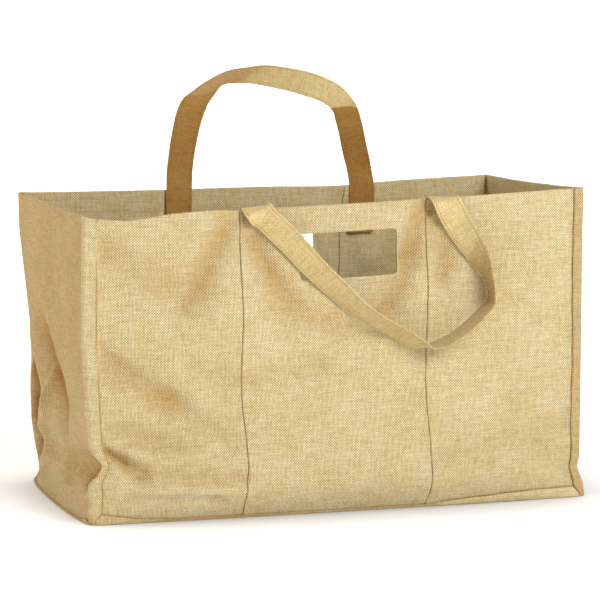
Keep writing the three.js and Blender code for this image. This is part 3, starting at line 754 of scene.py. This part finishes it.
# Painted shade of a wall: darker the deeper a fold, and in its hollows
def painted_fold_shade(wall, along, z):
    depth = np.clip(-folded(wall, along, z) / FULL_SHADE_DEPTH, 0, 1)
    for path, width, shade in HOLLOW_SHADES.get(wall, ()):
        depth = depth + shade * bell(from_path(along, z, path)[0], width)
    return depth


def seam_run(z, seam):
    return column(SEAM_PATHS[seam], z, BLUR) + ripple(z, SEAM_RIPPLES, seam)


# Piece of two grids whose outer face alone takes the painted shade and dark lines
def cloth(name, outer, inner, uv, shade_and_lines, material):
    points, faces = shell(outer, inner)
    uv = uv.reshape(-1, 2)
    shade = np.concatenate([shade_and_lines.ravel(), 0 * shade_and_lines.ravel()])
    return make_piece(name, points, faces, material, np.concatenate([uv, uv]), shade)


# Places along a panel: finer at a free edge, at a lap and where it is tucked under the next
def panel_places(start, end, over, under):
    runs = []
    if over is not None:
        runs.append(over + np.arange(0, LAP_REACH, LAP_STEP))
        start = over + LAP_REACH
    stop = end if under is None else under - TUCK_REACH
    runs.append(np.linspace(start, stop, int((stop - start) / STEP) + 1))
    if over is None:
        runs.append(start + np.arange(0, EDGE_REACH, EDGE_STEP))
    if under is None:
        runs.append(stop - np.arange(0, EDGE_REACH, EDGE_STEP))
    else:
        runs.append(under + np.array(TUCK_PLACES, float))
    return np.unique(np.concatenate(runs))


# Lift and shade of a panel's groove beside the corner, its line above the lip and its two seams
def panel_relief(wall, along, places, z, over, under):
    groove = bell(WIDTH / 2 - np.abs(places) - CORNER_FOLD - GROOVE["place"], GROOVE["width"])
    lift = -GROOVE["depth"] * groove
    line = GROOVE["left_shade"] * (places < 0) * groove
    lip = np.array([lip_height(wall, place) for place in along])
    line = np.maximum(line, LIP_LINE["shade"] * bell(z - lip - LIP_LINE["above"], LIP_LINE["width"]))
    if over is not None:
        from_seam = along - over
        pucker = np.sin(z / SEAM_PUCKER["length"]) * np.sin(z / SEAM_PUCKER["beat"])
        ridge = SEAM_RIDGE["height"] * bell(from_seam - SEAM_RIDGE["place"], SEAM_RIDGE["width"])
        lift = lift + ridge * (1 + SEAM_PUCKER["share"] * pucker)
        lift = lift - SEAM_NOTCH["depth"] * bell(from_seam, SEAM_NOTCH["width"])
        line = np.maximum(line, SEAM_LINE["shade"] * bell(from_seam, SEAM_LINE["width_over"]))
    if under is not None:
        lift = lift - LAYER * smooth(along, under + SEAM_STEP[0], under + SEAM_STEP[1])
        line = np.maximum(line, SEAM_LINE["shade"] * bell(along - under, SEAM_LINE["width_under"]))
    return lift, line


# Width of the front or the back between two places, lapped over the last panel and tucked under the next
def panel(name, wall, start, end, over=None, under=None):
    along = panel_places(start, end, over, under)
    rim = rim_height(wall, along)
    z = np.stack([wall_rows(LAYER, r) for r in rim], 1)
    offsets = [np.stack(layer, 1) for layer in zip(*map(row_offsets, z.T, rim))]
    places = np.broadcast_to(along, z.shape).copy()
    for seam in (over, under):
        if seam is not None:
            places += seam_run(z, seam) * np.exp(-np.abs(along - seam) / SEAM_REACH)
    lift, line = panel_relief(wall, along, places, z, over, under)
    grids = [wall_point(wall, places, z, offset + lift) for offset in offsets]
    # Painted shade of folds and hollows, with painted shadow lines of groove and lip and the dark seam
    # lines
    shade_and_lines = np.maximum(painted_fold_shade(wall, places, z), line)
    return cloth(name, *grids, np.stack([places, z], -1), shade_and_lines, BODY_JUTE)


# Rounded hand slot cut through a wall
def cut_slot(piece, wall):
    r = SLOT["corner"]
    w, h = SLOT["width"] / 2 - r, SLOT["height"] / 2 - r
    ring = []
    for turn, cx, cz in ((0, w, h), (1, -w, h), (2, -w, -h), (3, w, -h)):
        for a in np.linspace(turn, turn + 1, SLOT_ARC_POINTS) * math.pi / 2:
            ring.append((cx + r * math.cos(a), cz + r * math.sin(a)))
    c, s = math.cos(math.radians(SLOT["tilt"])), math.sin(math.radians(SLOT["tilt"]))
    y = WALLS[wall]["outward"][1] * DEPTH / 2
    points = []
    for depth in (-SLOT_CUT, SLOT_CUT):
        points += [(SLOT["x"] + x * c - z * s, y + depth, SLOT["z"] + x * s + z * c) for x, z in ring]
    count = len(ring)
    faces = [list(range(count)), list(range(count, 2 * count))]
    faces += [[i, (i + 1) % count, count + (i + 1) % count, count + i] for i in range(count)]
    block = make_piece("slot_block", points, faces, BODY_JUTE)
    cut = piece.modifiers.new("slot", "BOOLEAN")
    cut.operation = "DIFFERENCE"
    cut.object = block
    cut.solver = "EXACT"
    bpy.context.view_layer.objects.active = piece
    bpy.ops.object.modifier_apply(modifier=cut.name)
    bpy.data.objects.remove(block)
    piece.data.set_sharp_from_angle(angle=SHARP_ANGLE)
    return piece


def mitre_height(from_corner):
    rise = np.clip((from_corner - CORNER_ROUND) / (CORNER_FOLD - CORNER_ROUND), 0, 1)
    return BASE_LIP_LOWEST + (BASE_LIP - BASE_LIP_LOWEST) * rise


def lip_height(wall, along):
    d = half_length(wall) - abs(along)
    return min(mitre_height(d), column(LIPS[wall][int(along > 0)], d)) - GAP


# Side wall whose edges turn round the corners on to the front and the back
def gusset(name, wall, sign):
    side_end = DEPTH / 2 - CORNER_ROUND
    side_places = np.linspace(-side_end, side_end, int(2 * side_end / STEP))
    shares = np.linspace(0, 1, CORNER_STEPS + 2)[1:-1]

    def turned(face, d, layer):
        along = np.full(len(ROWS) + len(TOP_DROPS), sign * (WIDTH / 2 - d))
        z = wall_rows(mitre_height(d) + GAP, rim_height(face, along[0]))
        outer, inner = row_offsets(z, z[-1] + TURN_UNHEMMED)
        edge = CORNER_FOLD - d
        roll = TURN_ROLL["height"] * bell(edge - TURN_ROLL["place"], TURN_ROLL["width"])
        lift = roll - TURN_NOTCH["depth"] * bell(edge, TURN_NOTCH["width"])
        along = along + sign * ripple(z, TURN_RIPPLES, sign) * math.exp(-edge / TURN_RIPPLE_REACH)
        offset = outer if layer == 0 else np.maximum(inner, -TURN_OUT + TURN_CLEAR)
        return wall_point(face, along, z, TURN_OUT + lift + offset)

    def side(place, layer):
        along = np.full(len(ROWS) + len(TOP_DROPS), place)
        rim = rim_height(wall, place)
        z = wall_rows(LAYER, rim)
        return wall_point(wall, along, z, row_offsets(z, rim)[layer])

    def arc(face, place, layer):
        corner = f"{face}_{'left' if sign < 0 else 'right'}"
        z = wall_rows(LAYER, CORNERS[corner]["rim"])
        out = -1 if face == "front" else 1
        depth = CLOTH * layer
        x = CORNERS[corner]["x"] + post_lean(corner, z) - sign * depth
        y = np.full(len(z), CORNERS[corner]["y"] + out * (TURN_OUT - depth))
        knee = np.stack([x, y, z], -1)
        start, end = turned(face, CORNER_ROUND, layer), side(place, layer)
        return [start * (1 - t) ** 2 + knee * 2 * t * (1 - t) + end * t * t for t in shares]

    grids = []
    for layer in (0, 1):
        columns = [turned("front", d, layer) for d in TURN_PLACES]
        columns += arc("front", side_places[0], layer)
        columns += [side(place, layer) for place in side_places]
        columns += arc("back", side_places[-1], layer)[::-1]
        columns += [turned("back", d, layer) for d in TURN_PLACES[::-1]]
        grids.append(np.stack(columns, 1))
    outer = grids[0]
    middle = outer[len(ROWS) // 2]
    run = np.concatenate([[0], np.cumsum(np.linalg.norm(np.diff(middle, axis=0), axis=1))])
    uv = np.stack([np.broadcast_to(run, outer.shape[:2]), outer[..., 2]], -1)
    first = len(TURN_PLACES) + len(shares)
    inside = slice(first, first + len(side_places))
    z = outer[:, inside, 2]
    # Painted shade over the side wall, deeper in its folds; the right wall's turned front edge darker
    rise = SIDE_SHADE["rise"] * smooth(z, *SIDE_SHADE["heights"])
    shade_and_lines = np.zeros(outer.shape[:2])
    shade_and_lines[:, inside] = SIDE_SHADE["low"] + rise + painted_fold_shade(wall, side_places[None, :], z)
    shade_and_lines[:, :first] = SIDE_SHADE["right_edge"] if sign > 0 else 0.0
    return cloth(name, *grids, uv, shade_and_lines, BODY_JUTE)


# Rings of the base from its edge to its middle, and the low waves of its floor
BASE_RINGS = (0.995, 0.97, 0.9, 0.8, 0.65, 0.5, 0.35, 0.2)
BASE_WAVE = {"seed": 21, "length": 120, "height": 0.5}
BASE_WAVE_LIMITS = (-0.4, 1.2)

# Lip's uneven edge, the share of its thickness that is left where it is low, and its painted shade: towards
# the left, and where it is low
LIP_WAVE = {"height": 0.25, "length": 6.1}
LIP_THIN = {"least": 0.15, "heights": (3, 9)}
LIP_LEFT_SHADE = {"most": 0.35, "reach": (0, 200)}
LIP_LOW_SHADE = {"most": 0.8, "heights": (3, 6)}


# Base cloth with its edge turned up as a lip
def base(name):
    places = []
    for wall in WALLS:
        inner = half_length(wall) - CORNER_ROUND / 2
        steps = np.linspace(-inner, inner, int(2 * inner / STEP))
        if CORNERS[WALLS[wall]["to"]][axis_of(wall)] < 0:
            steps = steps[::-1]
        for along in steps:
            wave = LIP_WAVE["height"] * math.sin(along / LIP_WAVE["length"])
            places.append((wall, along, lip_height(wall, along) + wave))

    def ring(offset, lip_share, added):
        points = []
        for wall, along, lip in places:
            ox, oy = WALLS[wall]["outward"]
            point = face_point(wall, along, lip_share * lip + added)
            least = LIP_THIN["least"]
            thick = least + (1 - least) * smooth(lip, *LIP_THIN["heights"])
            reach = TURN_GAP + (offset - TURN_GAP) * thick
            points.append(point + np.array([ox, oy, 0]) * reach * LIP_SPREAD)
        return np.array(points)

    rings = [ring(*row) for row in LIP_SECTION]
    lip_points = len(rings) * len(places)
    run = np.linalg.norm(np.diff(rings[0], axis=0, prepend=rings[0][:1]), axis=1).cumsum()
    uv = [np.stack([run, layer[:, 2]], -1) for layer in rings]
    flat = rings[-1] * [1, 1, 0]
    for scale in BASE_RINGS:
        wave = np.clip(drift(flat[:, 0] * scale, flat[:, 1] * scale, **BASE_WAVE), *BASE_WAVE_LIMITS)
        level = BASE_THICK + wave
        rings.append(flat * scale + np.stack([0 * level, 0 * level, level], -1))
        uv.append(rings[-1][:, :2])
    count = len(places)
    points = np.concatenate(rings + [np.array([[0, 0, 0], [0, 0, BASE_THICK]])])
    index = np.arange(len(rings) * count).reshape(len(rings), count)
    faces = grid_faces(np.concatenate([index, index[:, :1]], 1)).tolist()
    for i in range(count):
        j = (i + 1) % count
        faces.append([len(points) - 2, j, i])
        faces.append([len(points) - 1, index[-1, i], index[-1, j]])
    # Painted shade on the lip: towards the left, and where the lip is low
    shade_and_lines = np.zeros(len(points))
    low = [1 - smooth(lip, *LIP_LOW_SHADE["heights"]) for _, _, lip in places]
    leftward = smooth(-points[:lip_points, 0], *LIP_LEFT_SHADE["reach"])
    low_shade = LIP_LOW_SHADE["most"] * np.tile(low, len(LIP_SECTION))
    shade_and_lines[:lip_points] = LIP_LEFT_SHADE["most"] * leftward + low_shade
    return make_piece(name, points, faces, BASE_JUTE, np.concatenate(uv + [np.zeros((2, 2))]), shade_and_lines)


# Curve through points: centripetal spline
def spline(points, t):
    points = np.asarray(points, float)
    last = len(points) - 1
    padded = np.concatenate([[2 * points[0] - points[1]], points, [2 * points[-1] - points[-2]]])
    place = np.clip(np.asarray(t, float), 0, 1) * last
    found = []
    for p in place:
        i = min(int(p), last - 1)
        p0, p1, p2, p3 = padded[i : i + 4]
        d0, d1, d2 = (max(np.sum((a - b) ** 2) ** 0.25, 1e-4) for a, b in ((p0, p1), (p1, p2), (p2, p3)))
        t1 = ((p1 - p0) / d0 - (p2 - p0) / (d0 + d1) + (p2 - p1) / d1) * d1
        t2 = ((p2 - p1) / d1 - (p3 - p1) / (d1 + d2) + (p3 - p2) / d2) * d1
        w = p - i
        found.append(p1 + t1 * w + (3 * (p2 - p1) - 2 * t1 - t2) * w**2 + (2 * (p1 - p2) + t1 + t2) * w**3)
    return np.array(found)


def width_direction(turn, out):
    t, o = math.radians(turn), math.radians(out)
    return np.array([math.cos(t) * math.cos(o), -math.sin(o), math.sin(t) * math.cos(o)])


# Seven places across a strap's width
STRAP_ACROSS = np.linspace(-STRAP_WIDTH / 2, STRAP_WIDTH / 2, 7)


def under_strap(wall, x, z, pick):
    return pick(face_point(wall, x + STRAP_ACROSS, z)[:, 1])


# Stations of one end of the front handle: sewn tail, crest over the rim, and the start of its hang
def front_root(side):
    root = FRONT_ROOTS[side]
    x = root["x"]
    rim = float(rim_height("front", x))
    tail, top = FRONT_TAIL["length"], rim - FRONT_TAIL["drop"]
    behind = 2 * LAYER + STRAP_THICK / 2 + 2 * GAP
    sewn = [(z, under_strap("front", x, z, max) + behind, 0) for z in (rim - tail, rim - tail / 2, top)]
    crest_y = under_strap("front", x, rim, max) + FRONT_TAIL["crest_behind"]
    hung_y = under_strap("front", x, top, min) - STRAP_THICK / 2 - FRONT_TAIL["hang_before"]
    stations = [*sewn, (rim + root["over"], crest_y, root["tilt"]), (top, hung_y, root["hang"])]
    return [((x, y, z), width_direction(turn, 0)) for z, y, turn in stations]


# Front handle's stations, each laid on the front by its edge that comes nearest
def front_stations():
    stations = front_root("left")
    for x, z, turn, out in FRONT_STRAP:
        width = width_direction(turn, out)
        thick = STRAP_REST + STRAP_THICK * math.hypot(width[0], width[2]) / 2
        front = face_point("front", x + STRAP_ACROSS * width[0], z + STRAP_ACROSS * width[2])[:, 1]
        y = front - STRAP_ACROSS * width[1] - thick
        stations.append(((x, y.min(), z), width))
    return stations + front_root("right")[::-1]


def back_root(x, turn):
    rim = float(rim_height("back", x))
    tail = BACK_ROOTS["tail"]
    before = 2 * LAYER + STRAP_THICK / 2 + GAP
    heights = (rim - tail, rim - tail / 2, rim - BACK_ROOTS["drop"])
    places = [(x, under_strap("back", x, z, min) - before, z) for z in heights]
    return [(place, width_direction(turn, 0)) for place in places]


def back_stations():
    free = []
    for x, z, behind, turn, out in BACK_STRAP:
        free.append(((x, DEPTH / 2 + behind, z), width_direction(turn, out)))
    return back_root(BACK_ROOTS["left"], 180) + free + back_root(BACK_ROOTS["right"], 0)[::-1]


# Centre line of a strap, with the directions of its width and of its face
def strap_frame(stations):
    t = np.linspace(0, 1, STRAP_STEPS)
    centre = spline([s[0] for s in stations], t)
    along = np.gradient(centre, axis=0)
    along /= np.linalg.norm(along, axis=1, keepdims=True)
    width = spline([s[1] for s in stations], t)
    width -= along * np.sum(width * along, axis=1, keepdims=True)
    width /= np.linalg.norm(width, axis=1, keepdims=True)
    return centre, width, np.cross(along, width)


# Flat strap through its stations, and its length
def strap(name, stations, first, shade_lines, seed, far_shade=1):
    centre, width, face = strap_frame(stations)
    run = np.concatenate([[0], np.cumsum(np.linalg.norm(np.diff(centre, axis=0), axis=1))])
    station = np.linspace(0, len(stations) - 1, STRAP_STEPS)[:, None] - first
    place, half = np.array(STRAP_PROFILE).T
    wave = drift(run[:, None], place[None, :], seed, **STRAP_WAVE)
    layers = []
    for sign in (1, -1):
        height = sign * half[None, :] + wave
        flat = centre[:, None] + width[:, None] * place[None, :, None]
        layers.append(flat + face[:, None] * height[..., None])
    points, faces = shell(*layers)
    places = np.broadcast_to(place, wave.shape)
    runs = np.broadcast_to(run[:, None], wave.shape)
    uv = np.stack([places, runs], -1).reshape(-1, 2)
    # Painted shade along the strap, changing at slanted lines across it, with darker stitch lines
    shade = np.zeros(wave.shape)
    for low, high, after, soft in shade_lines:
        line = low + (high - low) * (place / STRAP_WIDTH + 0.5)
        turn = smooth(station - line, -soft, soft)
        shade = shade * (1 - turn) + after * turn
    stitched = np.abs(place) == STRAP_STITCH
    shade = np.maximum(shade, STITCH_SHADE * stitched).ravel()
    shade = np.concatenate([shade, far_shade * shade])
    piece = make_piece(name, points, faces, STRAP_JUTE, np.concatenate([uv, uv]), shade)
    return piece, run[-1]


FRONT_STRAP_SEED = 31
BACK_STRAP_SEED = 37

pieces = {
    "base_panel": base("base_cloth"),
    "left_gusset": gusset("left_side_cloth", "left", -1),
    "right_gusset": gusset("right_side_cloth", "right", 1),
}
for wall in ("front", "back"):
    end = WIDTH / 2 - CORNER_ROUND - GAP
    pieces[f"{wall}_left_panel"] = panel(f"{wall}_left_cloth", wall, -end, None, under=SEAM_LEFT)
    centre_piece = panel(f"{wall}_centre_cloth", wall, None, None, over=SEAM_LEFT, under=SEAM_RIGHT)
    pieces[f"{wall}_centre_panel"] = cut_slot(centre_piece, wall)
    pieces[f"{wall}_right_panel"] = panel(f"{wall}_right_cloth", wall, None, end, over=SEAM_RIGHT)
pieces["front_handle"], front_length = strap(
    "front_strap", front_stations(), FRONT_TAIL["stations"], FRONT_SHADES, FRONT_STRAP_SEED
)
pieces["back_handle"], back_length = strap(
    "back_strap", back_stations(), BACK_ROOTS["stations"], BACK_SHADES, BACK_STRAP_SEED, BACK_FAR_SHADE
)

for node, piece in pieces.items():
    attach(piece, "root")
    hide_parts(node)

# Floor: its reach each way, the bend up into the backdrop, the backdrop's top and the floor's level
FLOOR = {"reach": 9000, "bend": 3000, "top": 9000, "level": -0.2, "bend_points": 24}
FLOOR_WHITE = 0.86
FLOOR_GLOW = 0.48
FLOOR_SURFACE = {"Roughness": 0.85, "Specular IOR Level": 0.1, "Emission Color": (1.0, 1.0, 1.0, 1)}

# Contact shade: how near things darken the floor, in metres, and by how much
CONTACT_REACH = 0.12
CONTACT_SHADE = 0.85


# Floor that runs up into a plain pale backdrop
def backdrop():
    g = Graph("pale_floor")
    near = g.node("ShaderNodeAmbientOcclusion")
    near.inputs["Distance"].default_value = CONTACT_REACH
    clear = g.math("MULTIPLY_ADD", near.outputs["AO"], CONTACT_SHADE, 1 - CONTACT_SHADE)
    g.put(g.shader.inputs["Base Color"], g.grey(g.math("MULTIPLY", clear, FLOOR_WHITE)))
    g.put(g.shader.inputs["Emission Strength"], g.math("MULTIPLY", clear, FLOOR_GLOW))
    g.surface(FLOOR_SURFACE)
    reach, bend, level = FLOOR["reach"], FLOOR["bend"], FLOOR["level"]
    section = [(-reach, level)]
    for a in np.linspace(0, math.pi / 2, FLOOR["bend_points"]):
        section.append((reach - bend + bend * math.sin(a), level + bend - bend * math.cos(a)))
    section.append((reach, FLOOR["top"]))
    grid = np.array([[(x, y, z) for y, z in section] for x in (-2 * reach, 2 * reach)], float)
    index = np.arange(2 * len(section)).reshape(2, -1)
    return make_piece("floor", grid.reshape(-1, 3), grid_faces(index), g.material)


backdrop()

# Lamps: name, place, target, size, power and colour
LAMPS = [
    ("key", (0.8, -3.2, 2.0), (0, 0, 0.15), 2.0, 112, (1.0, 1.0, 1.0)),
    ("fill", (-2.9, 0.9, 2.1), (0, 0, 0.2), 1.4, 45, (1.0, 0.85, 0.60)),
    ("wash", (0, 2.6, 3.0), (0, 7.0, 0.2), 3.0, 300, (1.0, 1.0, 1.0)),
]
SKY_COLOUR = (1.0, 0.95, 0.86, 1)
SKY_STRENGTH = 0.34

for name, place, target, size, power, colour in LAMPS:
    lamp = bpy.data.lights.new(name, "AREA")
    lamp.shape = "DISK"
    lamp.size = size
    lamp.energy = power
    lamp.color = colour
    light = bpy.data.objects.new(name, lamp)
    light.location = place
    light.rotation_euler = (Vector(target) - Vector(place)).to_track_quat("-Z", "Y").to_euler()
    bpy.context.scene.collection.objects.link(light)

world = bpy.data.worlds.new("studio")
bpy.context.scene.world = world
world.use_nodes = True
sky = world.node_tree.nodes["Background"]
sky.inputs["Color"].default_value = SKY_COLOUR
sky.inputs["Strength"].default_value = SKY_STRENGTH
bpy.context.scene.view_settings.view_transform = "Standard"

# Camera at the photo's angle
AZIMUTH = math.radians(-17.9)
ELEVATION = math.radians(6.2)
DISTANCE = 3.262
TARGET = Vector((0, 0, 0.230))
level_out = math.cos(ELEVATION)
back = Vector((math.sin(AZIMUTH) * level_out, -math.cos(AZIMUTH) * level_out, math.sin(ELEVATION)))
camera = bpy.data.objects.new("camera", bpy.data.cameras.new("camera"))
camera.location = TARGET + back * DISTANCE
camera.rotation_euler = (-back).to_track_quat("-Z", "Y").to_euler()
camera.data.lens = 162
camera.data.sensor_width = 36
camera.data.clip_end = 100
bpy.context.scene.collection.objects.link(camera)
bpy.context.scene.camera = camera

bpy.context.view_layer.update()
